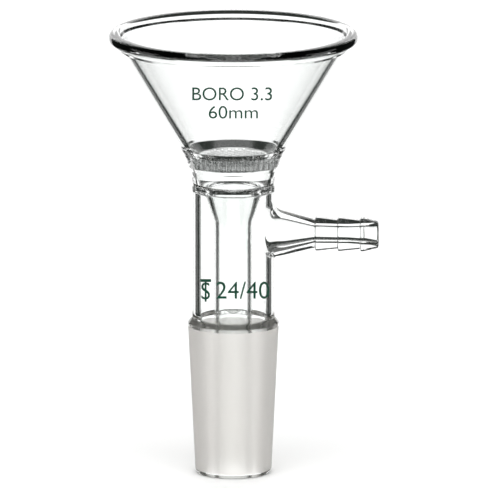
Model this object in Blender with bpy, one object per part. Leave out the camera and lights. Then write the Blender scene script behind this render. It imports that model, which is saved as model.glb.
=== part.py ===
"""Hirsch-type filter funnel in borosilicate glass.

A 60 mm conical bowl with a fused perforated plate drains through a flared
drip tube that hangs inside a wider jacket tube.  The jacket carries a vacuum
side arm with a serrated hose end, and finishes in a male 24/40 ground joint.

Frame: metres, +Z up the funnel's axis, origin at the centre of the joint's
lower end, +X along the vacuum side arm.

The glassblower's blanks and worked zones are separate objects.  Neighbours
that are fused on the real funnel stand GAP apart here.
"""

import math

import bmesh
import bpy
from mathutils import Matrix, Vector

MM = 0.001
GAP = 0.3 * MM            # clearance between neighbouring meshes
SIDES = 48                # facets round the large turned pieces
SIDES_SMALL = 32          # facets round the drip tube and the side arm

# --- male 24/40 ground joint: 24 mm at the large end, 1:10 taper, 40 mm long
JOINT_LENGTH = 40.0 * MM
JOINT_R_LARGE = 12.0 * MM
JOINT_TAPER = 0.1         # change of diameter per length
JOINT_LIP_HEIGHT = 0.9 * MM
JOINT_LIP_R = 9.25 * MM
JOINT_BORE_R_LOW = 7.4 * MM
JOINT_BORE_R_HIGH = 9.0 * MM

# --- jacket tube, 22 mm tubing with a 2 mm wall
JACKET_R_OUT = 10.95 * MM
JACKET_R_IN = 9.0 * MM
SHOULDER_TOP = 42.2 * MM
JACKET_TOP = 75.6 * MM

# --- ring seal, throat and bowl
SEAL_TOP = 78.5 * MM
SEAL_OPENING_R = 6.5 * MM
THROAT_TOP = 81.3 * MM
PLATE_Z_LOW = 81.8 * MM
PLATE_Z_HIGH = 85.1 * MM
PLATE_R = 10.6 * MM
CONE_Z_LOW = 88.3 * MM
CONE_R_LOW = 14.5 * MM
CONE_SLOPE = 0.6105       # change of radius per height
WALL_ACROSS = 2.66 * MM   # wall of the cone, measured level
BEAD_Z_LOW = 114.7 * MM
RIM_R = 32.75 * MM
FUNNEL_HEIGHT = 118.2 * MM

# --- perforations, a hexagonal grid
HOLE_R = 0.6 * MM
HOLE_PITCH = 2.3 * MM
HOLE_RINGS = 4
HOLE_SIDES = 8

# --- drip tube, 10 mm tubing with a 1 mm wall
DRIP_R_OUT = 5.0 * MM
DRIP_R_IN = 4.0 * MM
DRIP_Z_LOW = 0.3 * MM
FLARE_Z_LOW = 66.5 * MM

# --- vacuum side arm, along +X
ARM_Z = 64.7 * MM
ARM_SPLIT = 20.6 * MM     # where the branch meets the hose connection
ARM_TIP = 38.3 * MM
ARM_BORE_R = 1.75 * MM
BARB_VALLEY_R = 3.88 * MM
BARB_CREST_R = 4.58 * MM
BARB_CRESTS = (21.95 * MM, 27.85 * MM, 33.85 * MM)


def clear_scene():
    for thing in list(bpy.data.objects):
        bpy.data.objects.remove(thing, do_unlink=True)


def material(name, colour, roughness, transmission):
    """Principled glass; metallic stays 0 on every piece."""
    m = bpy.data.materials.new(name)
    m.use_nodes = True
    shader = m.node_tree.nodes["Principled BSDF"]
    shader.inputs["Base Color"].default_value = (*colour, 1.0)
    shader.inputs["Metallic"].default_value = 0.0
    shader.inputs["Roughness"].default_value = roughness
    shader.inputs["IOR"].default_value = 1.474
    shader.inputs["Transmission Weight"].default_value = transmission
    m.diffuse_color = (*colour, 1.0)
    return m


def empty(name, location=(0, 0, 0), rotation=(0, 0, 0), parent=None):
    e = bpy.data.objects.new(name, None)
    e.empty_display_size = 0.01
    e.location = location
    e.rotation_euler = rotation
    e.parent = parent
    bpy.context.scene.collection.objects.link(e)
    return e


def wire(name, loop):
    """A closed outline in the local XZ plane, as edges only."""
    mesh = bpy.data.meshes.new(name)
    points = [(r, 0.0, z) for r, z in loop]
    edges = [(i, (i + 1) % len(points)) for i in range(len(points))]
    mesh.from_pydata(points, edges, [])
    return mesh


def turned(name, outer, inner, mat, parent, sides=SIDES):
    """Turn a wall about local Z: outer and inner are (radius, height) from top to bottom."""
    loop = list(outer) + list(reversed(inner))
    ob = bpy.data.objects.new(name, wire(name, loop))
    bpy.context.scene.collection.objects.link(ob)
    ob.parent = parent
    ob.data.materials.append(mat)
    s = ob.modifiers.new("turn", "SCREW")
    s.axis = "Z"
    s.angle = 2 * math.pi
    s.screw_offset = 0.0
    s.steps = sides
    s.render_steps = sides
    s.use_merge_vertices = True
    s.merge_threshold = 0.00001
    s.use_smooth_shade = True
    return ob


def rod(name, radius, length, sides, location, rotation=(0, 0, 0)):
    """A hidden cutter: a closed cylinder centred on location."""
    bm = bmesh.new()
    bmesh.ops.create_cone(
        bm, cap_ends=True, segments=sides, radius1=radius, radius2=radius, depth=length
    )
    mesh = bpy.data.meshes.new(name)
    bm.to_mesh(mesh)
    bm.free()
    ob = bpy.data.objects.new(name, mesh)
    bpy.context.scene.collection.objects.link(ob)
    ob.location = location
    ob.rotation_euler = rotation
    ob.hide_render = True
    ob.display_type = "WIRE"
    return ob


def cut(ob, cutter):
    b = ob.modifiers.new("cut_" + cutter.name, "BOOLEAN")
    b.operation = "DIFFERENCE"
    b.solver = "EXACT"
    b.object = cutter


def joint_r(z):
    """Radius of the ground taper at a height."""
    return JOINT_R_LARGE - (JOINT_LENGTH - z) * JOINT_TAPER / 2


def cone_r(z):
    """Outer radius of the bowl at a height."""
    return CONE_R_LOW + (z - CONE_Z_LOW) * CONE_SLOPE


def arc(centre, radius_r, radius_z, start, end, count):
    """Points along an ellipse in the (radius, height) plane, degrees from +radius."""
    points = []
    for i in range(count + 1):
        a = math.radians(start + (end - start) * i / count)
        points.append(
            (centre[0] + radius_r * math.cos(a), centre[1] + radius_z * math.sin(a))
        )
    return points


def hex_grid(pitch, rings):
    """Centres of a hexagonal grid with this many rings round its middle."""
    points = []
    for q in range(-rings, rings + 1):
        for r in range(-rings, rings + 1):
            if abs(q + r) <= rings:
                points.append((pitch * (q + r / 2), pitch * r * math.sqrt(3) / 2))
    return points


def rim_bead(mat, parent):
    """Fire-polished bead: the wall thickens outward and rounds over the top."""
    low = BEAD_Z_LOW + GAP / 2
    mid = FUNNEL_HEIGHT - 1.45 * MM
    inner_r = cone_r(mid) - WALL_ACROSS
    half = (RIM_R - inner_r) / 2
    centre = (RIM_R - half, mid)
    top = arc(centre, half, FUNNEL_HEIGHT - mid, 90, 0, 4)
    under = arc(centre, half, 1.55 * MM, -22, -48, 2)
    outer = top + under + [(cone_r(low), low)]
    inner = arc(centre, half, FUNNEL_HEIGHT - mid, 122, 180, 3)
    inner.append((cone_r(low) - WALL_ACROSS, low))
    return turned("rim_bead", outer, inner, mat, parent)


def bowl_cone(mat, parent):
    high = BEAD_Z_LOW - GAP / 2
    low = CONE_Z_LOW + GAP / 2
    outer = [(cone_r(high), high), (cone_r(low), low)]
    inner = [(cone_r(high) - WALL_ACROSS, high), (cone_r(low) - WALL_ACROSS, low)]
    return turned("bowl_cone", outer, inner, mat, parent)


def plate_seal(mat, parent):
    """The thick foot of the bowl, where the plate is fused in all round."""
    high = CONE_Z_LOW - GAP / 2
    low = THROAT_TOP + GAP / 2
    outer = [
        (cone_r(high), high),
        (13.6 * MM, 86.6 * MM),
        (12.95 * MM, 85.0 * MM),
        (12.45 * MM, 83.4 * MM),
        (12.0 * MM, 81.9 * MM),
        (11.8 * MM, low),
    ]
    edge = PLATE_R + GAP
    inner = [
        (cone_r(high) - WALL_ACROSS, high),
        (11.35 * MM, 86.6 * MM),
        (11.0 * MM, 85.6 * MM),
        (edge, PLATE_Z_HIGH),
        (edge, PLATE_Z_LOW),
        (10.35 * MM, low),
    ]
    return turned("plate_seal", outer, inner, mat, parent)


def perforated_plate(mat, parent):
    """Flat disc with straight holes on a hexagonal grid."""
    ob = turned(
        "perforated_plate",
        [(0.0, PLATE_Z_HIGH), (PLATE_R, PLATE_Z_HIGH), (PLATE_R, PLATE_Z_LOW), (0.0, PLATE_Z_LOW)],
        [],
        mat,
        parent,
    )
    middle = (PLATE_Z_LOW + PLATE_Z_HIGH) / 2
    bm = bmesh.new()
    for x, y in hex_grid(HOLE_PITCH, HOLE_RINGS):
        bmesh.ops.create_cone(
            bm,
            cap_ends=True,
            segments=HOLE_SIDES,
            radius1=HOLE_R,
            radius2=HOLE_R,
            depth=3 * (PLATE_Z_HIGH - PLATE_Z_LOW),
            matrix=Matrix.Translation(Vector((x, y, 0.0))),
        )
    mesh = bpy.data.meshes.new("perforations")
    bm.to_mesh(mesh)
    bm.free()
    pins = bpy.data.objects.new("perforations", mesh)
    bpy.context.scene.collection.objects.link(pins)
    pins.location = (0, 0, middle)
    pins.hide_render = True
    pins.display_type = "WIRE"
    pins.parent = parent
    cut(ob, pins)
    return ob


def throat(mat, parent):
    high = THROAT_TOP - GAP / 2
    low = SEAL_TOP + GAP / 2
    outer = [(11.55 * MM, high), (11.15 * MM, 79.9 * MM), (10.98 * MM, low)]
    inner = [(10.15 * MM, high), (9.55 * MM, 79.9 * MM), (8.95 * MM, low)]
    return turned("throat", outer, inner, mat, parent)


def ring_seal(mat, parent):
    """The ring where jacket, throat and drip-tube flare are fused together."""
    high = SEAL_TOP - GAP / 2
    low = JACKET_TOP + GAP / 2
    outer = [(JACKET_R_OUT, high), (JACKET_R_OUT, low)]
    inner = [
        (8.8 * MM, high),
        (8.1 * MM, 77.4 * MM),
        (7.1 * MM, 76.6 * MM),
        (SEAL_OPENING_R, low),
    ]
    return turned("ring_seal", outer, inner, mat, parent)


def drip_flare(mat, parent):
    """Flared top of the drip tube, fused under the ring seal."""
    high = JACKET_TOP - GAP / 2
    low = FLARE_Z_LOW + GAP / 2
    outer = [
        (7.6 * MM, high),
        (6.75 * MM, 72.6 * MM),
        (5.8 * MM, 69.4 * MM),
        (DRIP_R_OUT, low),
    ]
    inner = [
        (SEAL_OPENING_R, high),
        (5.7 * MM, 72.6 * MM),
        (4.75 * MM, 69.4 * MM),
        (DRIP_R_IN, low),
    ]
    return turned("drip_tube_flare", outer, inner, mat, parent, SIDES_SMALL)


def drip_tube(mat, parent):
    high = FLARE_Z_LOW - GAP / 2
    outer = [(DRIP_R_OUT, high), (DRIP_R_OUT, DRIP_Z_LOW + 0.3 * MM), (DRIP_R_OUT - 0.3 * MM, DRIP_Z_LOW)]
    inner = [(DRIP_R_IN, high), (DRIP_R_IN, DRIP_Z_LOW + 0.2 * MM), (DRIP_R_IN + 0.2 * MM, DRIP_Z_LOW)]
    return turned("drip_tube", outer, inner, mat, parent, SIDES_SMALL)


def jacket_tube(mat, parent, drill):
    high = JACKET_TOP - GAP / 2
    low = SHOULDER_TOP + GAP / 2
    outer = [(JACKET_R_OUT, high), (JACKET_R_OUT, low)]
    inner = [(JACKET_R_IN, high), (JACKET_R_IN, low)]
    ob = turned("jacket_tube", outer, inner, mat, parent)
    cut(ob, drill)
    return ob


def joint_shoulder(mat, parent):
    """Clear rounded shoulder between the jacket tube and the ground taper."""
    high = SHOULDER_TOP - GAP / 2
    low = JOINT_LENGTH + GAP / 2
    outer = [
        (JACKET_R_OUT, high),
        (11.1 * MM, 41.6 * MM),
        (11.55 * MM, 41.0 * MM),
        (11.9 * MM, low),
    ]
    inner = [(JACKET_R_IN, high), (JOINT_BORE_R_HIGH, low)]
    return turned("joint_shoulder", outer, inner, mat, parent)


def ground_joint(mat, parent):
    """Ground male taper with a bevelled clear lip at its lower end."""
    high = JOINT_LENGTH - GAP / 2
    outer = [
        (joint_r(high), high),
        (joint_r(JOINT_LIP_HEIGHT), JOINT_LIP_HEIGHT),
        (JOINT_LIP_R, 0.0),
    ]
    inner = [(JOINT_BORE_R_HIGH, high), (JOINT_BORE_R_LOW, 0.0)]
    return turned("ground_joint", outer, inner, mat, parent)


def arm_branch(mat, parent, saddle):
    """Trumpet-shaped branch that is fused onto the jacket and tapers to the hose end."""
    end = ARM_SPLIT - GAP / 2
    outer = [
        (BARB_VALLEY_R, end),
        (4.15 * MM, 18.4 * MM),
        (4.65 * MM, 15.9 * MM),
        (5.4 * MM, 13.3 * MM),
        (6.1 * MM, 12.0 * MM),
        (7.0 * MM, 10.9 * MM),
        (7.7 * MM, 9.6 * MM),
        (8.0 * MM, 7.4 * MM),
    ]
    inner = [
        (ARM_BORE_R + 0.1 * MM, end),
        (2.15 * MM, 18.4 * MM),
        (2.8 * MM, 15.9 * MM),
        (3.5 * MM, 13.3 * MM),
        (3.9 * MM, 12.0 * MM),
        (4.3 * MM, 10.9 * MM),
        (4.5 * MM, 9.6 * MM),
        (4.6 * MM, 7.4 * MM),
    ]
    ob = turned("side_arm_branch", outer, inner, mat, parent, SIDES_SMALL)
    cut(ob, saddle)
    return ob


def hose_connection(mat, parent):
    """Serrated hose end: each ridge rises sharply and ramps down towards the tip."""
    start = ARM_SPLIT + GAP / 2
    rise = []
    for i, crest in enumerate(BARB_CRESTS):
        following = BARB_CRESTS[i + 1] if i + 1 < len(BARB_CRESTS) else ARM_TIP
        rise += [
            (BARB_VALLEY_R, crest - 0.6 * MM),
            (BARB_CREST_R - 0.1 * MM, crest - 0.15 * MM),
            (BARB_CREST_R, crest + 0.15 * MM),
            (BARB_VALLEY_R + 0.32 * MM, crest + 0.5 * (following - crest)),
        ]
    rise = [(BARB_VALLEY_R, start)] + rise
    rise += [(3.67 * MM, ARM_TIP - 0.6 * MM), (3.3 * MM, ARM_TIP - 0.1 * MM), (3.1 * MM, ARM_TIP)]
    outer = list(reversed(rise))
    inner = [
        (2.6 * MM, ARM_TIP),
        (2.3 * MM, ARM_TIP - 0.4 * MM),
        (ARM_BORE_R + 0.15 * MM, 33.5 * MM),
        (ARM_BORE_R, 27.0 * MM),
        (ARM_BORE_R + 0.1 * MM, start),
    ]
    return turned("hose_connection", outer, inner, mat, parent, SIDES_SMALL)


def build():
    clear_scene()
    axis = empty("funnel_axis")
    arm = empty("side_arm_axis", (0, 0, ARM_Z), (0, math.pi / 2, 0), axis)

    def clear(name):
        return material("glass_" + name, (0.93, 0.97, 0.95), 0.0, 1.0)

    drill = rod(
        "branch_drill", 5.0 * MM, 8.0 * MM, SIDES_SMALL, (10.0 * MM, 0, ARM_Z), (0, math.pi / 2, 0)
    )
    drill.parent = axis
    saddle = rod("jacket_saddle", JACKET_R_OUT + GAP, 30.0 * MM, SIDES, (0, 0, ARM_Z))
    saddle.parent = axis

    pieces = [
        rim_bead(clear("rim_bead"), axis),
        bowl_cone(clear("bowl_cone"), axis),
        plate_seal(clear("plate_seal"), axis),
        perforated_plate(clear("perforated_plate"), axis),
        throat(clear("throat"), axis),
        ring_seal(clear("ring_seal"), axis),
        drip_flare(clear("drip_tube_flare"), axis),
        drip_tube(clear("drip_tube"), axis),
        jacket_tube(clear("jacket_tube"), axis, drill),
        joint_shoulder(clear("joint_shoulder"), axis),
        ground_joint(material("ground_glass", (0.86, 0.86, 0.84), 0.6, 0.8), axis),
        arm_branch(clear("side_arm_branch"), arm, saddle),
        hose_connection(clear("hose_connection"), arm),
    ]
    bpy.context.view_layer.update()
    return pieces


build()
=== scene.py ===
"""Looks of the filter funnel: the fused glass surfaces, the ground joint, the enamel marks,
a pale floor, soft studio light and the camera.

Every zone of glass is a closed mesh of its own that stands for one CAD node.  Neighbours meet
face to face on "seam" faces that light passes straight through, so that the glass looks fused,
as it is on the real funnel.  Lengths below are in millimetres until a mesh is made.
"""

import math

import bpy
import numpy as np
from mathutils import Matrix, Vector
from mathutils.geometry import delaunay_2d_cdt


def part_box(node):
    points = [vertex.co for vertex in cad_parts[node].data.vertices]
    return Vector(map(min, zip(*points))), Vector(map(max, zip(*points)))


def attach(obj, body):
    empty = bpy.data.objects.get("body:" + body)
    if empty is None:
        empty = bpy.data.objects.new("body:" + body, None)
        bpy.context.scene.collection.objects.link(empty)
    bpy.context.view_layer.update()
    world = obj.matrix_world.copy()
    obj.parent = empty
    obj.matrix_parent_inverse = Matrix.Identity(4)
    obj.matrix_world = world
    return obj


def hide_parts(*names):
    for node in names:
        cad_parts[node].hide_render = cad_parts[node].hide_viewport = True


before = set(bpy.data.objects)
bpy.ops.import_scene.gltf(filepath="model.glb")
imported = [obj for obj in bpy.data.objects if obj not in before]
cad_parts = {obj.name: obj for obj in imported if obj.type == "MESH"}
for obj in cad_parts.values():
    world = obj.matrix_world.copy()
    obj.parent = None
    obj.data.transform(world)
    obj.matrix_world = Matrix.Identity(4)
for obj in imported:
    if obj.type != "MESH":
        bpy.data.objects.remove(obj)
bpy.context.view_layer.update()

MM = 0.001
N = 192                     # vertices round the funnel's axis


def node_box(name):
    lo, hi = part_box(name)
    return np.array(lo) / MM, np.array(hi) / MM


# ------------------------------------------------------------------ sizes read from the frame
JOINT = node_box("ground_joint")
PLATE = node_box("perforated_plate")
JACKET = node_box("jacket_tube")
RIM = node_box("rim_bead")
HOSE = node_box("hose_connection")
DRIP = node_box("drip_tube")

R_JOINT = 12.0
R_JACKET = float(JACKET[1][0])            # 10.95
R_JACKET_IN = 9.0
R_RIM = float(RIM[1][0])                  # 32.75
TOP = float(RIM[1][2])                    # 118.2
Z_PLATE_LOW = float(PLATE[0][2]) + 1.1          # 81.8
Z_PLATE_HIGH = float(PLATE[1][2]) + 1.1         # 85.1
R_DRIP = float(DRIP[1][0])                # 5.0
R_DRIP_IN = 4.0
Z_DRIP = float(DRIP[0][2])                # 0.3
ARM_TIP = float(HOSE[1][0])               # 38.3
ARM_Z = float(HOSE[0][2] + HOSE[1][2]) / 2    # 64.7
ARM_SPLIT = float(HOSE[0][0]) - 0.15      # 20.6
CONE_SLOPE = 0.6105


# ------------------------------------------------------------------ turned outlines
def outline(corners, arc_step=7.5, straight=2.0):
    """Dense samples [r, z, nr, nz] along a path of (r, z, corner radius).

    Glass lies on the left of the path, and the normal points to its right."""
    pts = [np.array(c[:2], float) for c in corners]
    rad = [c[2] if len(c) > 2 else 0.0 for c in corners]
    out = []

    def put(p, n):
        if out and math.hypot(out[-1][0] - p[0], out[-1][1] - p[1]) < 1e-6:
            return
        out.append([p[0], p[1], n[0], n[1]])

    def run(a, b):
        d = b - a
        length = float(np.hypot(*d))
        if length < 1e-6:
            return
        d = d / length
        n = (d[1], -d[0])
        steps = max(1, int(math.ceil(length / straight)))
        for i in range(steps + 1):
            put(a + d * length * i / steps, n)

    cursor = pts[0]
    for i in range(1, len(pts) - 1):
        a, p, b = pts[i - 1], pts[i], pts[i + 1]
        d0 = (p - a) / np.hypot(*(p - a))
        d1 = (b - p) / np.hypot(*(b - p))
        turn = math.atan2(d0[0] * d1[1] - d0[1] * d1[0], float(d0 @ d1))
        reach = rad[i] * math.tan(abs(turn) / 2)
        if reach < 1e-6:
            run(cursor, p)
            cursor = p
            continue
        start, end = p - d0 * reach, p + d1 * reach
        run(cursor, start)
        side = 1.0 if turn > 0 else -1.0
        left = np.array([-d0[1], d0[0]])
        centre = start + left * side * rad[i]
        steps = max(2, int(math.ceil(abs(math.degrees(turn)) / arc_step)))
        v = start - centre
        for k in range(1, steps + 1):
            t = turn * k / steps
            w = np.array([v[0] * math.cos(t) - v[1] * math.sin(t), v[0] * math.sin(t) + v[1] * math.cos(t)])
            n = w / np.hypot(*w) * side
            put(centre + w, n)
        cursor = end
    run(cursor, pts[-1])
    return np.array(out)


def split_index(path, near):
    """Inserts a sample on the path at its closest point to near; returns (path, index)."""
    p = np.array(near, float)
    best = None
    for i in range(len(path) - 1):
        a, b = path[i, :2], path[i + 1, :2]
        d = b - a
        t = float(np.clip((p - a) @ d / max(d @ d, 1e-12), 0, 1))
        q = a + d * t
        e = float(np.hypot(*(p - q)))
        if best is None or e < best[0]:
            best = (e, i, t, q)
    e, i, t, q = best
    if t < 1e-3:
        return path, i
    if t > 1 - 1e-3:
        return path, i + 1
    n = path[i, 2:] * (1 - t) + path[i + 1, 2:] * t
    n = n / np.hypot(*n)
    return np.insert(path, i + 1, [q[0], q[1], n[0], n[1]], axis=0), i + 1


cone_r = lambda z: 14.5 + (z - 88.3) * CONE_SLOPE
WALL = 2.66
cone_in = lambda z: cone_r(z) - WALL

# The section of the whole fused body, from the plate's underside down the inside, round the
# joint's lower end, up the outside, over the rim and down the bowl to the plate's top.
SECTION = [
    (10.00, Z_PLATE_LOW),
    (10.38, Z_PLATE_LOW, 0.3),
    (9.95, 81.6, 1.0),
    (9.15, 77.65, 0.9),
    (6.55, 76.70, 0.8),
    (R_DRIP_IN, 67.6, 5.0),
    (R_DRIP_IN, Z_DRIP, 0.25),
    (R_DRIP, Z_DRIP, 0.45),
    (R_DRIP, 67.35, 5.0),
    (7.72, 75.45, 0.40),
    (R_JACKET_IN, 76.00, 0.45),
    (R_JACKET_IN, 43.0, 6.0),
    (7.4, 0.6, 3.0),
    (7.4, 0.0, 0.35),
    (9.25, 0.0, 0.25),
    (10.045, 0.9, 0.12),
    (R_JOINT, 40.0, 0.1),
    (R_JOINT + 0.01, 40.45, 0.45),
    (R_JACKET, 41.9, 1.3),
    (R_JACKET, 76.6, 1.0),
    (R_JACKET - 0.22, 77.35, 0.5),
    (11.12, 79.9, 1.5),
    (11.92, 82.4, 2.0),
    (12.60, 84.5, 1.5),
    (13.02, 85.30, 0.9),
    (13.26, 86.00, 0.9),
    (13.72, 86.75, 0.9),
    (13.96, 87.50, 0.9),
    (14.40, 88.20, 1.2),
    (15.40, 89.80, 2.5),
    (cone_r(113.9), 113.9, 0.40),
    (cone_r(114.5) - 0.10, 114.5, 0.25),
    (cone_r(115.3) + 0.20, 115.3, 0.35),
    (R_RIM, 115.5, 1.15),
    (R_RIM, TOP, 1.25),
    (cone_in(TOP) + 0.02, TOP, 1.25),
    (cone_in(116.1) - 0.10, 116.1, 0.9),
    (cone_in(115.2), 115.2, 0.8),
    (11.55, 87.82, 0.9),
    (9.10, Z_PLATE_HIGH, 0.45),
    (8.75, Z_PLATE_HIGH),
]
section = outline(SECTION)
TAGS = {
    "throat_in_top": (10.1, 82.2),
    "throat_in_low": (9.35, 78.5),
    "flare_in_top": (6.10, 75.2),
    "drip_in_top": (R_DRIP_IN, 64.9),
    "drip_out_top": (R_DRIP, 64.9),
    "flare_out_top": (7.55, 75.05),
    "jacket_in_top": (R_JACKET_IN, 75.2),
    "jacket_in_low": (R_JACKET_IN, 43.8),
    "joint_in_top": (8.88, 40.0),
    "frost_low": (10.06, 1.1),
    "frost_top": (R_JOINT - 0.02, 39.6),
    "joint_out_top": (R_JOINT, 39.85),
    "jacket_out_low": (R_JACKET, 43.8),
    "jacket_out_top": (R_JACKET, 75.2),
    "ring_out_top": (10.95, 78.6),
    "throat_out_top": (11.7, 81.3),
    "cone_out_low": (cone_r(90.6), 90.6),
    "bead_out_low": (cone_r(113.2), 113.2),
    "bead_in_low": (cone_in(114.0), 114.0),
    "cone_in_low": (cone_in(91.2), 91.2),
}
for name, near in TAGS.items():
    section, _ = split_index(section, near)
tag = {}
for name, near in TAGS.items():
    d = np.hypot(section[:, 0] - near[0], section[:, 1] - near[1])
    tag[name] = int(np.argmin(d))
tag["plate_low"], tag["plate_high"] = 0, len(section) - 1


def seg(a, b):
    return section[tag[a] : tag[b] + 1]


# ------------------------------------------------------------------ materials
def new_material(name):
    m = bpy.data.materials.new(name)
    m.use_nodes = True
    nt = m.node_tree
    shader = nt.nodes["Principled BSDF"]
    return m, nt, shader


def noise(nt, scale, detail=3.0, distortion=0.0, coords=None, stretch=(1, 1, 1)):
    tc = nt.nodes.new("ShaderNodeTexCoord")
    mp = nt.nodes.new("ShaderNodeMapping")
    mp.inputs["Scale"].default_value = stretch
    nt.links.new(tc.outputs["Object"], mp.inputs["Vector"])
    n = nt.nodes.new("ShaderNodeTexNoise")
    n.inputs["Scale"].default_value = scale
    n.inputs["Detail"].default_value = detail
    n.inputs["Distortion"].default_value = distortion
    nt.links.new(mp.outputs["Vector"], n.inputs["Vector"])
    return n


def ranged(nt, value, low, high):
    """The value (0..1) carried into low..high."""
    r = nt.nodes.new("ShaderNodeMapRange")
    r.inputs["From Min"].default_value = 0.3
    r.inputs["From Max"].default_value = 0.7
    r.inputs["To Min"].default_value = low
    r.inputs["To Max"].default_value = high
    nt.links.new(value, r.inputs["Value"])
    return r.outputs["Result"]


def tinted(nt, value, low, high):
    """A colour between low and high."""
    m = nt.nodes.new("ShaderNodeMix")
    m.data_type = "RGBA"
    m.inputs["A"].default_value = (*low, 1)
    m.inputs["B"].default_value = (*high, 1)
    nt.links.new(value, m.inputs["Factor"])
    return m.outputs["Result"]


def bump(nt, shader, height, distance, strength=1.0):
    b = nt.nodes.new("ShaderNodeBump")
    b.inputs["Strength"].default_value = strength
    b.inputs["Distance"].default_value = distance
    nt.links.new(height, b.inputs["Height"])
    nt.links.new(b.outputs["Normal"], shader.inputs["Normal"])


def clear_glass(name):
    """Fire-polished borosilicate glass with the faint drawn unevenness of blown tubing."""
    m, nt, s = new_material(name)
    drawn = noise(nt, 55, 1.0, stretch=(1, 1, 0.3))
    film = noise(nt, 160, 3.0, 0.3)
    tint = tinted(nt, drawn.outputs["Fac"], (0.984, 0.996, 0.989), (0.992, 0.998, 0.995))
    nt.links.new(tint, s.inputs["Base Color"])
    nt.links.new(ranged(nt, film.outputs["Fac"], 0.0, 0.016), s.inputs["Roughness"])
    bump(nt, s, drawn.outputs["Fac"], 0.00002)
    s.inputs["IOR"].default_value = 1.474
    s.inputs["Transmission Weight"].default_value = 1.0
    return m


def seam_material():
    """Light passes straight through: the face where two fused zones meet."""
    m, nt, s = new_material("fused_seam")
    s.inputs["Base Color"].default_value = (1, 1, 1, 1)
    s.inputs["Alpha"].default_value = 0.0
    s.inputs["Specular IOR Level"].default_value = 0.0
    m.surface_render_method = "BLENDED"
    return m


def ground_material():
    """Fine-ground glass: a matt, lightly streaked surface that scatters what passes through."""
    m, nt, s = new_material("ground_glass_fine")
    streaks = noise(nt, 260, 2.0, stretch=(1, 1, 0.04))
    grain = noise(nt, 5200, 2.0)
    tint = tinted(nt, ranged(nt, streaks.outputs["Fac"], 0.0, 1.0), (0.955, 0.925, 0.893), (0.985, 0.960, 0.930))
    nt.links.new(tint, s.inputs["Base Color"])
    nt.links.new(ranged(nt, grain.outputs["Fac"], 0.40, 0.52), s.inputs["Roughness"])
    bump(nt, s, grain.outputs["Fac"], 0.00001, 0.6)
    s.inputs["IOR"].default_value = 1.474
    s.inputs["Transmission Weight"].default_value = 0.56
    return m


def drilled_shaded_material():
    """The walls of the drilled holes: fine-ground by the drill, then softened in the flame. Their glass is tinted a
    little grey as painted shade that darkens the hole channels, and the noise varies that grey at random along the
    holes.
    """
    m, nt, s = new_material("drilled_glass_painted_shade")
    n = noise(nt, 2600, 3.0, stretch=(1, 1, 0.25))
    # painted shade: the hole walls are tinted grey so the hole channels read darker; the noise only varies the grey at
    # random
    tint = tinted(nt, n.outputs["Fac"], (0.90, 0.91, 0.905), (1.0, 1.0, 1.0))
    nt.links.new(tint, s.inputs["Base Color"])
    nt.links.new(ranged(nt, n.outputs["Fac"], 0.0, 0.03), s.inputs["Roughness"])
    s.inputs["IOR"].default_value = 1.474
    s.inputs["Transmission Weight"].default_value = 1.0
    return m


def enamel_material():
    """Fired green enamel, a little uneven where the screen print thins."""
    m, nt, s = new_material("green_enamel")
    cloud = noise(nt, 900, 3.0)
    tint = tinted(nt, ranged(nt, cloud.outputs["Fac"], 0.0, 1.0), (0.002, 0.045, 0.024), (0.004, 0.070, 0.038))
    nt.links.new(tint, s.inputs["Base Color"])
    nt.links.new(ranged(nt, cloud.outputs["Fac"], 0.36, 0.52), s.inputs["Roughness"])
    s.inputs["Specular IOR Level"].default_value = 0.25
    return m


GLASS = clear_glass("clear_borosilicate")
SEAM = seam_material()
GROUND = ground_material()
DRILLED = drilled_shaded_material()
ENAMEL = enamel_material()
CLEAR_FACE, SEAM_FACE, GROUND_FACE = 0, 1, 2
DRILLED_FACE = 2               # third slot of the perforated plate


# ------------------------------------------------------------------ mesh builder
class Builder:
    """Collects shared vertices, faces and a normal for every face corner."""

    def __init__(self):
        self.v, self.f, self.n, self.m = [], [], [], []

    def ring(self, points):
        base = len(self.v)
        self.v += [tuple(p) for p in points]
        return list(range(base, base + len(points)))

    def face(self, idx, normals, mat):
        self.f.append(idx)
        self.n += [tuple(x) for x in normals]
        self.m.append(mat)

    def band(self, a, b, na, nb, mat, closed=True, flip=False):
        """Quads between two rings of the same length; normals are per vertex of each ring."""
        count = len(a)
        for k in range(count if closed else count - 1):
            j = (k + 1) % count
            idx = [a[k], a[j], b[j], b[k]]
            nn = [na[k], na[j], nb[j], nb[k]]
            if flip:
                idx, nn = idx[::-1], nn[::-1]
            self.face(idx, nn, mat)

    def make(self, name, mats):
        mesh = bpy.data.meshes.new(name)
        mesh.from_pydata([(x * MM, y * MM, z * MM) for x, y, z in self.v], [], self.f)
        for m in mats:
            mesh.materials.append(m)
        mesh.polygons.foreach_set("material_index", np.array(self.m, np.int32))
        mesh.polygons.foreach_set("use_smooth", np.ones(len(self.f), bool))
        mesh.update()
        n = np.array(self.n, float)
        n /= np.maximum(np.linalg.norm(n, axis=1, keepdims=True), 1e-9)
        mesh.normals_split_custom_set([tuple(x) for x in n])
        ob = bpy.data.objects.new(name, mesh)
        bpy.context.scene.collection.objects.link(ob)
        return ob


def around(count):
    return [2 * math.pi * k / count for k in range(count)]


THETA = around(N)
COS = np.array([math.cos(t) for t in THETA])
SIN = np.array([math.sin(t) for t in THETA])


def z_ring(r, z):
    return np.stack([r * COS, r * SIN, np.full(N, z)], 1)


def z_norm(nr, nz):
    return np.stack([nr * COS, nr * SIN, np.full(N, nz)], 1)


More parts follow.
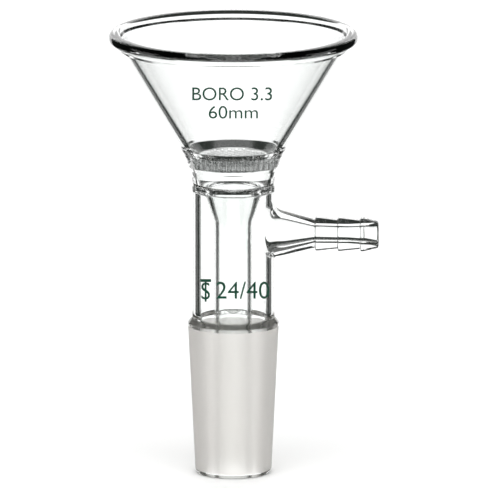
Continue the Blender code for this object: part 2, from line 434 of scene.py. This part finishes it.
def turned(name, chains, mats=(0,), frost=None):
    """A closed turned solid.  chains are runs of the section, joined end to end by seams."""
    b = Builder()
    rings = []
    for c in chains:
        rings.append([(b.ring(z_ring(s[0], s[1])), z_norm(s[2], s[3]), s[1]) for s in c])
    for ci, c in enumerate(rings):
        for (ra, na, za), (rb, nb, zb) in zip(c, c[1:]):
            face = CLEAR_FACE
            if frost and frost(ci, za, zb):
                face = GROUND_FACE
            b.band(ra, rb, na, nb, face)
        nxt = rings[(ci + 1) % len(rings)]
        ra, rb = c[-1][0], nxt[0][0]
        pa, pb = np.array(b.v[ra[0]]), np.array(b.v[rb[0]])
        d = np.array([pb[0] - pa[0], pb[2] - pa[2]])
        d /= np.hypot(*d)
        nn = z_norm(d[1], -d[0])
        b.band(ra, rb, nn, nn, SEAM_FACE)
    return b.make(name, [GLASS, SEAM, GROUND])


pieces = []


def keep(ob, node):
    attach(ob, "root")
    if node:
        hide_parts(node)
    pieces.append(ob)
    return ob


keep(turned("glass_rim_bead", [seg("bead_out_low", "bead_in_low")]), "rim_bead")
keep(
    turned("glass_bowl_cone", [seg("cone_out_low", "bead_out_low"), seg("bead_in_low", "cone_in_low")]),
    "bowl_cone",
)
keep(
    turned(
        "glass_plate_seal",
        [seg("plate_low", "throat_in_top"), seg("throat_out_top", "cone_out_low"), seg("cone_in_low", "plate_high")],
    ),
    "plate_seal",
)
keep(
    turned("glass_throat", [seg("throat_in_top", "throat_in_low"), seg("ring_out_top", "throat_out_top")]),
    "throat",
)
keep(
    turned(
        "glass_ring_seal",
        [seg("throat_in_low", "flare_in_top"), seg("flare_out_top", "jacket_in_top"), seg("jacket_out_top", "ring_out_top")],
    ),
    "ring_seal",
)
keep(
    turned("glass_drip_flare", [seg("flare_in_top", "drip_in_top"), seg("drip_out_top", "flare_out_top")]),
    "drip_tube_flare",
)
keep(turned("glass_drip_tube", [seg("drip_in_top", "drip_out_top")]), "drip_tube")
keep(
    turned("glass_joint_shoulder", [seg("jacket_in_low", "joint_in_top"), seg("joint_out_top", "jacket_out_low")]),
    "joint_shoulder",
)
joint_chain = seg("joint_in_top", "joint_out_top")
first_outer = float(section[tag["frost_low"]][1])
last_outer = float(section[tag["frost_top"]][1])


def is_ground(ci, za, zb):
    return zb > za and za >= first_outer - 1e-6 and zb <= last_outer + 1e-6


keep(turned("glass_ground_joint", [joint_chain], frost=is_ground), "ground_joint")


# ------------------------------------------------------------------ perforated plate
def hex_grid(pitch, rings):
    pts = []
    for q in range(-rings, rings + 1):
        for r in range(-rings, rings + 1):
            if abs(q + r) <= rings:
                pts.append((pitch * (q + r / 2), pitch * r * math.sqrt(3) / 2))
    return pts


def perforated_plate():
    """Flat disc; each hole is straight with slightly softened mouths."""
    b = Builder()
    lo, hi = Z_PLATE_LOW, Z_PLATE_HIGH
    r_hi, r_lo = section[-1][0], section[0][0]
    hole_r, soft, sides = 0.53, 0.07, 28
    top_ring = b.ring(z_ring(r_hi, hi))
    low_ring = b.ring(z_ring(r_lo, lo))
    # seam round the plate's edge
    d = np.array([r_hi - r_lo, hi - lo])
    d /= np.hypot(*d)
    nn = z_norm(d[1], -d[0])
    b.band(low_ring, top_ring, nn, nn, SEAM_FACE)
    top_loops, low_loops = [], []
    turn = math.radians(9.0)
    for hx, hy in hex_grid(1.97, 4):
        cx, cy = hx * math.cos(turn) - hy * math.sin(turn), hx * math.sin(turn) + hy * math.cos(turn)
        a = np.array(around(sides))
        ca, sa = np.cos(a), np.sin(a)
        prof = []
        for k in range(4):
            t = math.radians(90 - 30 * k)
            prof.append((hole_r + soft * (1 - math.cos(t)), hi - soft + soft * math.sin(t), -math.cos(t), math.sin(t)))
        for k in range(4):
            t = math.radians(30 * k)
            prof.append((hole_r + soft * (1 - math.cos(t)), lo + soft - soft * math.sin(t), -math.cos(t), -math.sin(t)))
        rings = []
        for r, z, nr, nz in prof:
            ring = b.ring(np.stack([cx + r * ca, cy + r * sa, np.full(sides, z)], 1))
            rings.append((ring, np.stack([nr * ca, nr * sa, np.full(sides, nz)], 1)))
        for (ra, na), (rb, nb) in zip(rings, rings[1:]):
            b.band(ra, rb, na, nb, DRILLED_FACE)
        top_loops.append(rings[0][0])
        low_loops.append(rings[-1][0])
    for outer, loops, up in ((top_ring, top_loops, 1.0), (low_ring, low_loops, -1.0)):
        ids = list(outer) + [i for l in loops for i in l]
        co = [Vector((b.v[i][0], b.v[i][1])) for i in ids]
        at = {v: k for k, v in enumerate(ids)}
        edges = [(at[l[k]], at[l[(k + 1) % len(l)]]) for l in [outer] + loops for k in range(len(l))]
        _, _, tris, _, _, _ = delaunay_2d_cdt(co, edges, [], 1, 1e-7)
        hole_of = {i: n for n, l in enumerate(loops) for i in l}
        for t in tris:
            idx = [ids[i] for i in t]
            owners = {hole_of.get(i, -1) for i in idx}
            if len(owners) == 1 and -1 not in owners:      # wholly inside one hole's mouth
                continue
            a0, a1, a2 = (np.array(b.v[i][:2]) for i in idx)
            area = (a1[0] - a0[0]) * (a2[1] - a0[1]) - (a1[1] - a0[1]) * (a2[0] - a0[0])
            if area * up < 0:
                idx = idx[::-1]
            b.face(idx, [(0, 0, up)] * 3, CLEAR_FACE)
    return b.make("glass_perforated_plate", [GLASS, SEAM, DRILLED])


keep(perforated_plate(), "perforated_plate")

# ------------------------------------------------------------------ jacket tube and side arm
PATCH = 32                    # columns each side of +X that the branch's surroundings take
ROWS = 26
Z_JACKET_LOW, Z_JACKET_HIGH = 43.8, 75.2
Z_PATCH_LOW = 54.0
HOLE_Z = ARM_Z - 0.35


def hole_out(phi):
    return 7.75 + 1.1 * np.sin(phi) + 0.15 * np.sin(phi) ** 2


def hole_in(phi):
    return 7.3 + 1.7 * np.sin(phi) + 0.4 * np.sin(phi) ** 2


def arm_axis(x):
    return HOLE_Z - 0.018 * (x - 12.0)


BORDER = []                   # (theta index offset, z) counter-clockwise seen from +X
for i in range(ROWS):
    BORDER.append((PATCH, Z_PATCH_LOW + (Z_JACKET_HIGH - Z_PATCH_LOW) * i / ROWS))
for i in range(2 * PATCH):
    BORDER.append((PATCH - i, Z_JACKET_HIGH))
for i in range(ROWS):
    BORDER.append((-PATCH, Z_JACKET_HIGH - (Z_JACKET_HIGH - Z_PATCH_LOW) * i / ROWS))
for i in range(2 * PATCH):
    BORDER.append((-PATCH + i, Z_PATCH_LOW))
STEP = 2 * math.pi / N
PHI = np.array([math.atan2(z - HOLE_Z, 10.0 * k * STEP) for k, z in BORDER])
M = len(BORDER)


def on_tube(R, y, z):
    return np.array([math.sqrt(max(R * R - y * y, 0.0)), y, z])


def hole_point(R, rho, phi):
    return on_tube(R, rho * math.cos(phi), HOLE_Z + rho * math.sin(phi))


def tube_shell(b, R, hole, sign):
    """Outer (sign 1) or inner (sign -1) face of the jacket with the branch's hole."""
    z_rows = [Z_JACKET_LOW + (Z_PATCH_LOW - Z_JACKET_LOW) * i / 6 for i in range(6)]
    z_rows += [Z_PATCH_LOW + (Z_JACKET_HIGH - Z_PATCH_LOW) * i / ROWS for i in range(ROWS + 1)]
    ids = {}

    def vid(k, zi):
        k %= N
        if (k, zi) not in ids:
            b.v.append((R * COS[k], R * SIN[k], z_rows[zi]))
            ids[(k, zi)] = len(b.v) - 1
        return ids[(k, zi)]

    def nrm(i):
        x, y, _ = b.v[i]
        return (sign * x / R, sign * y / R, 0.0)

    def quad(i0, i1, i2, i3):
        idx = [i0, i1, i2, i3]
        if sign < 0:
            idx = idx[::-1]
        b.face(idx, [nrm(i) for i in idx], CLEAR_FACE)

    for zi in range(len(z_rows) - 1):
        for k in range(N):
            inside = zi >= 6 and (k < PATCH or k >= N - PATCH)
            if inside:
                continue
            quad(vid(k, zi), vid(k + 1, zi), vid(k + 1, zi + 1), vid(k, zi + 1))
    border = []
    for n, (k, z) in enumerate(BORDER):
        zi = int(round((z - Z_PATCH_LOW) / (Z_JACKET_HIGH - Z_PATCH_LOW) * ROWS)) + 6
        border.append(vid(k, zi))
    rings = [border]
    J = 7
    start = np.array([[k * STEP, z] for k, z in BORDER])
    end = []
    for p in PHI:
        q = hole_point(R, float(hole(p)), p)
        end.append([math.asin(q[1] / R), q[2]])
    end = np.array(end)
    for j in range(1, J + 1):
        t = j / J
        t = 1 - (1 - t) ** 1.3
        mix = start * (1 - t) + end * t
        if j == J:
            pts = [hole_point(R, float(hole(p)), p) for p in PHI]
        else:
            pts = [(R * math.cos(a), R * math.sin(a), z) for a, z in mix]
        rings.append(b.ring(pts))
    for ra, rb in zip(rings, rings[1:]):
        for k in range(M):
            j = (k + 1) % M
            quad(ra[k], ra[j], rb[j], rb[k])
    low = [vid(k, 0) for k in range(N)]
    high = [vid(k, len(z_rows) - 1) for k in range(N)]
    return rings[-1], low, high


def jacket_tube():
    b = Builder()
    ho, lo_o, hi_o = tube_shell(b, R_JACKET, hole_out, 1)
    hi_hole, lo_i, hi_i = tube_shell(b, R_JACKET_IN, hole_in, -1)
    up, down = z_norm(0, 1), z_norm(0, -1)
    b.band(hi_o, hi_i, up, up, SEAM_FACE)
    b.band(lo_i, lo_o, down, down, SEAM_FACE)
    flat = np.tile(np.array([1.0, 0, 0]), (M, 1))
    b.band(ho, hi_hole, flat, flat, SEAM_FACE)
    return b.make("glass_jacket_tube", [GLASS, SEAM, GROUND])


def bezier(p0, p1, p2, p3, t):
    s = 1 - t
    return s**3 * p0 + 3 * s * s * t * p1 + 3 * s * t * t * p2 + t**3 * p3


def arm_circle(x, r, phi):
    return np.array([x, r * math.cos(phi), arm_axis(x) + r * math.sin(phi)])


def fillet_point(R, hole, xe, re, slope, a, c, phi, t):
    """Blend from the tube's face to the arm's turned face, tangent to both."""
    rho = float(hole(phi))
    p0 = hole_point(R, rho, phi)
    dirn = np.array([p0[1] * math.cos(phi) / p0[0], -math.cos(phi), -math.sin(phi)])
    dirn /= np.linalg.norm(dirn)
    p3 = arm_circle(xe, re, phi)
    end = np.array([1.0, slope * math.cos(phi), slope * math.sin(phi) - 0.018])
    end /= np.linalg.norm(end)
    span = max(rho - re, 0.5)
    return bezier(p0, p0 + dirn * a * span, p3 - end * c, p3, t)


FILLET_OUT = dict(R=R_JACKET, hole=hole_out, xe=13.6, re=5.80, slope=-0.262, a=0.78, c=1.9)
FILLET_IN = dict(R=R_JACKET_IN, hole=hole_in, xe=13.6, re=3.42, slope=-0.225, a=0.80, c=2.6)


def fillet_grid(b, spec, count, first_ring_points, sign):
    """Rings of the fillet with normals; the first ring lies on the tube."""
    rings = []
    eps_p, eps_t = 1e-3, 1e-3
    for j in range(count + 1):
        t = j / count
        pts, nrm = [], []
        for phi in PHI:
            p = fillet_point(phi=phi, t=t, **spec)
            t0, t1 = max(t - eps_t, 0), min(t + eps_t, 1)
            dt = fillet_point(phi=phi, t=t1, **spec) - fillet_point(phi=phi, t=t0, **spec)
            dp = fillet_point(phi=phi + eps_p, t=t, **spec) - fillet_point(phi=phi - eps_p, t=t, **spec)
            n = np.cross(dp, dt)
            n /= np.linalg.norm(n)
            if j == 0:
                n = np.array([p[0], p[1], 0.0]) / spec["R"]
            pts.append(p)
            nrm.append(n * sign)
        rings.append((b.ring(pts), np.array(nrm)))
    return rings


# the arm's turned outline in (radius, x); glass on the left
CREST = 4.56
ARM_OUTLINE = [
    (5.80, 13.6),
    (3.90, 20.85, 3.0),
    (3.86, 21.45, 0.25),
    (CREST, 21.62, 0.30),
    (CREST - 0.02, 22.35, 0.30),
    (3.95, 27.05, 0.6),
    (3.93, 27.40, 0.2),
    (CREST, 27.58, 0.30),
    (CREST - 0.02, 28.30, 0.30),
    (3.95, 33.05, 0.6),
    (3.93, 33.35, 0.2),
    (CREST, 33.53, 0.30),
    (CREST - 0.02, 34.25, 0.30),
    (3.74, 37.5, 1.0),
    (3.55, ARM_TIP, 0.7),
    (2.35, ARM_TIP, 0.45),
    (2.05, 35.5, 2.0),
    (1.76, 30.0, 6.0),
    (1.80, 21.0, 6.0),
    (3.42, 13.6),
]
arm_outline = outline(ARM_OUTLINE, straight=1.2)
arm_outline, _ = split_index(arm_outline, (3.93, ARM_SPLIT))
arm_outline, _ = split_index(arm_outline, (1.87, ARM_SPLIT))


def arm_index(near):
    return int(np.argmin(np.hypot(arm_outline[:, 0] - near[0], arm_outline[:, 1] - near[1])))


A_OUT, A_IN = arm_index((3.93, ARM_SPLIT)), arm_index((1.87, ARM_SPLIT))


def arm_rings(b, chain):
    out = []
    c, s = np.cos(PHI), np.sin(PHI)
    for r, x, nr, nx in chain:
        pts = np.stack([np.full(M, x), r * c, arm_axis(x) + r * s], 1)
        nz = nr * s
        nrm = np.stack([nx + 0.018 * nz, nr * c, nz], 1)
        out.append((b.ring(pts), nrm))
    return out


def join(b, rings):
    for (ra, na), (rb, nb) in zip(rings, rings[1:]):
        b.band(ra, rb, na, nb, CLEAR_FACE)


def side_arm_branch():
    b = Builder()
    out = fillet_grid(b, FILLET_OUT, 22, None, 1)
    chain_out = arm_rings(b, arm_outline[1 : A_OUT + 1])
    inn = fillet_grid(b, FILLET_IN, 22, None, -1)
    chain_in = arm_rings(b, arm_outline[A_IN:-1])
    # make the shared rings carry the turned outline's normals
    c, s = np.cos(PHI), np.sin(PHI)
    for rings, sample in ((out, arm_outline[0]), (inn, arm_outline[-1])):
        nz = sample[2] * s
        rings[-1] = (rings[-1][0], np.stack([sample[3] + 0.018 * nz, sample[2] * c, nz], 1))
    join(b, out + chain_out)
    join(b, chain_in + inn[::-1])
    flat = np.tile(np.array([1.0, 0, 0]), (M, 1))
    b.band(chain_out[-1][0], chain_in[0][0], flat, flat, SEAM_FACE)
    b.band(inn[0][0], out[0][0], -flat, -flat, SEAM_FACE)
    return b.make("glass_side_arm_branch", [GLASS, SEAM, GROUND])


def hose_connection():
    b = Builder()
    rings = arm_rings(b, arm_outline[A_OUT : A_IN + 1])
    join(b, rings)
    flat = np.tile(np.array([-1.0, 0, 0]), (M, 1))
    b.band(rings[-1][0], rings[0][0], flat, flat, SEAM_FACE)
    return b.make("glass_hose_connection", [GLASS, SEAM, GROUND])


keep(jacket_tube(), "jacket_tube")
keep(side_arm_branch(), "side_arm_branch")
keep(hose_connection(), "hose_connection")


# ------------------------------------------------------------------ enamel size marks
def enamel_mark(name, body, width, centre_x, base_z, height, radius_at):
    """Printed lettering laid on the glass, seen flat from the front (-Y)."""
    cu = bpy.data.curves.new(name, "FONT")
    cu.body = body
    cu.size = 1.0
    cu.align_x = "CENTER"
    tmp = bpy.data.objects.new(name + "_curve", cu)
    bpy.context.scene.collection.objects.link(tmp)
    bpy.context.view_layer.update()
    dg = bpy.context.evaluated_depsgraph_get()
    me = bpy.data.meshes.new_from_object(tmp.evaluated_get(dg))
    bpy.data.objects.remove(tmp)
    bpy.data.curves.remove(cu)
    co = np.array([v.co[:] for v in me.vertices])
    lo, hi = co.min(0), co.max(0)
    sx, sz = width / (hi[0] - lo[0]), height / (hi[1] - lo[1])
    import bmesh

    bm = bmesh.new()
    bm.from_mesh(me)
    for v in bm.verts:
        v.co = Vector(((v.co.x - (lo[0] + hi[0]) / 2) * sx, (v.co.y - lo[1]) * sz, 0.0))
    bmesh.ops.remove_doubles(bm, verts=bm.verts[:], dist=1e-5)
    bmesh.ops.triangulate(bm, faces=bm.faces[:])
    for _ in range(3):
        long = [e for e in bm.edges if e.calc_length() > 0.55]
        if not long:
            break
        bmesh.ops.subdivide_edges(bm, edges=long, cuts=1)
        bmesh.ops.triangulate(bm, faces=bm.faces[:])
    # a thin film: outer face, inner face and the edge between them
    geom = bmesh.ops.extrude_face_region(bm, geom=bm.faces[:] + bm.edges[:] + bm.verts[:])
    outer = {v for v in geom["geom"] if isinstance(v, bmesh.types.BMVert)}
    for v in bm.verts:
        x, z = v.co.x + centre_x, v.co.y + base_z
        r, slope = radius_at(z)
        lift = 0.045 if v in outer else 0.004
        r = r + lift * math.sqrt(1 + slope * slope)
        z -= (r - math.sqrt(r * r - x * x)) * 0.2          # printed straight to a viewer above
        r = radius_at(z)[0] + lift * math.sqrt(1 + slope * slope)
        y = -math.sqrt(max(r * r - x * x, 0.01))
        v.co = Vector((x * MM, y * MM, z * MM))
    bmesh.ops.recalc_face_normals(bm, faces=bm.faces[:])
    bm.to_mesh(me)
    bm.free()
    me.materials.clear()
    me.materials.append(ENAMEL)
    ob = bpy.data.objects.new(name, me)
    bpy.context.scene.collection.objects.link(ob)
    return keep(ob, None)


# ------------------------------------------------------------------ floor, world, light, camera
def make_floor():
    me = bpy.data.meshes.new("floor")
    import bmesh

    bm = bmesh.new()
    bmesh.ops.create_circle(bm, cap_ends=True, segments=96, radius=4.0)
    bm.to_mesh(me)
    bm.free()
    ob = bpy.data.objects.new("floor", me)
    bpy.context.scene.collection.objects.link(ob)
    ob.location = (0, 0, -0.00005)
    m, nt, s = new_material("pale_floor")
    paper = noise(nt, 30, 4.0)
    tint = tinted(nt, paper.outputs["Fac"], (0.925, 0.925, 0.92), (0.94, 0.94, 0.937))
    nt.links.new(tint, s.inputs["Base Color"])
    s.inputs["Roughness"].default_value = 0.9
    s.inputs["Specular IOR Level"].default_value = 0.1
    me.materials.append(m)
    ob.visible_transmission = False
    ob.visible_glossy = False
    return ob


def make_world():
    """A white surround with dark cards between its lit parts, as for bright-field glass work."""
    w = bpy.data.worlds.new("studio")
    bpy.context.scene.world = w
    w.use_nodes = True
    nt = w.node_tree
    nt.nodes.clear()
    link = nt.links.new
    out = nt.nodes.new("ShaderNodeOutputWorld")
    bg = nt.nodes.new("ShaderNodeBackground")
    link(bg.outputs[0], out.inputs[0])
    tc = nt.nodes.new("ShaderNodeTexCoord")
    sep = nt.nodes.new("ShaderNodeSeparateXYZ")
    link(tc.outputs["Generated"], sep.inputs[0])

    def math_node(op, a, b=None, c=None):
        n = nt.nodes.new("ShaderNodeMath")
        n.operation = op
        for i, v in enumerate((a, b, c)):
            if v is None:
                continue
            if isinstance(v, (int, float)):
                n.inputs[i].default_value = v
            else:
                link(v, n.inputs[i])
        return n.outputs[0]

    def smooth(v, lo, hi):
        n = nt.nodes.new("ShaderNodeMapRange")
        n.interpolation_type = "SMOOTHSTEP"
        n.inputs["From Min"].default_value = lo
        n.inputs["From Max"].default_value = hi
        link(v, n.inputs["Value"])
        return n.outputs["Result"]

    x, y, z = sep.outputs
    az = math_node("ARCTAN2", x, y)                        # 0 along +Y
    el = math_node("ARCSINE", z)
    deg = math.pi / 180
    def lobe(centre, half, low, high, soft=1.2):
        """1 inside an azimuth and elevation window (degrees) with soft edges."""
        off = math_node("COSINE", math_node("SUBTRACT", az, centre * deg))
        side = smooth(off, math.cos((half + soft) * deg), math.cos((half - soft) * deg))
        up = smooth(el, (high + soft) * deg, (high - soft) * deg)
        down = smooth(el, (low - soft) * deg, (low + soft) * deg)
        return math_node("MULTIPLY", side, math_node("MULTIPLY", up, down))

    white = lobe(0, 26.5, -24, 27)
    for c in (-90, 90, 180):
        white = math_node("MAXIMUM", white, lobe(c, 19, -7.5, 8, 1.5))
        white = math_node("MAXIMUM", white, lobe(c, 12 if abs(c) == 90 else 19, -17, 0, 1.5))
    white = math_node("MAXIMUM", white, lobe(0, 25, 20, 44))
    white = math_node("MAXIMUM", white, lobe(-45, 8, -29.5, -20.5, 1.5))
    for c in (-135, 135):
        white = math_node("MAXIMUM", white, lobe(c, 14, -21, -11, 1.5))
    white = math_node("MAXIMUM", white, smooth(el, -63 * deg, -69 * deg))
    mix = nt.nodes.new("ShaderNodeMix")
    mix.data_type = "RGBA"
    link(white, mix.inputs["Factor"])
    mix.inputs["A"].default_value = (0.030, 0.034, 0.031, 1)
    mix.inputs["B"].default_value = (1.30, 1.30, 1.30, 1)
    # the backdrop itself, where nothing stands in front of it
    path = nt.nodes.new("ShaderNodeLightPath")
    plain = nt.nodes.new("ShaderNodeMix")
    plain.data_type = "RGBA"
    link(path.outputs["Is Camera Ray"], plain.inputs["Factor"])
    link(mix.outputs["Result"], plain.inputs["A"])
    plain.inputs["B"].default_value = (1.0, 1.0, 1.0, 1)
    link(plain.outputs["Result"], bg.inputs["Color"])
    return w


def make_camera():
    cam = bpy.data.cameras.new("camera")
    ob = bpy.data.objects.new("camera", cam)
    bpy.context.scene.collection.objects.link(ob)
    cam.sensor_width = 36.0
    dist = 5.0
    pitch = math.radians(11.45)
    aim = Vector((0.0028, 0.0, 0.0613))
    d = Vector((0.0, math.cos(pitch), -math.sin(pitch))) * dist
    ob.location = aim - d
    ob.rotation_mode = "XYZ"
    ob.rotation_euler = d.to_track_quat("-Z", "Y").to_euler()
    cam.lens = 36.0 * d.length / (488 * 0.2636 * MM)
    cam.clip_start, cam.clip_end = 0.01, 60.0
    bpy.context.scene.camera = ob
    return ob


def cone_front(z):
    return cone_r(z), CONE_SLOPE


def jacket_front(z):
    return R_JACKET, 0.0


enamel_mark("enamel_grade_mark", "BORO 3.3", 20.9, -0.3, 104.6, 3.95, cone_front)
enamel_mark("enamel_size_mark", "60mm", 12.9, 0.0, 99.1, 3.85, cone_front)
enamel_mark("enamel_joint_mark", "24/40", 14.0, 2.5, 48.8, 4.6, jacket_front)
enamel_mark("enamel_taper_mark", "S", 2.3, -7.3, 48.6, 4.6, jacket_front)
enamel_mark("enamel_taper_bar", "T", 2.9, -7.3, 48.0, 6.1, jacket_front)

make_floor()
make_world()
def sun(name, azimuth, elevation, strength, spread):
    li = bpy.data.lights.new(name, "SUN")
    li.energy = strength
    li.angle = math.radians(spread)
    ob = bpy.data.objects.new(name, li)
    bpy.context.scene.collection.objects.link(ob)
    a, e = math.radians(azimuth), math.radians(elevation)
    d = -Vector((math.sin(a) * math.cos(e), -math.cos(a) * math.cos(e), math.sin(e)))
    ob.rotation_euler = d.to_track_quat("-Z", "Y").to_euler()
    ob.location = -d * 2
    ob.visible_transmission = False
    ob.visible_glossy = False
    return ob


sun("key_light", 0, 50, 2.35, 85)
sun("fill_light", 180, 72, 2.0, 115)
make_camera()

scene = bpy.context.scene
scene.view_settings.view_transform = "Standard"
scene.view_settings.look = "None"
scene.cycles.max_bounces = 40
scene.cycles.transmission_bounces = 40
scene.cycles.glossy_bounces = 15
scene.cycles.diffuse_bounces = 4
scene.cycles.transparent_max_bounces = 64
scene.cycles.blur_glossy = 0.0
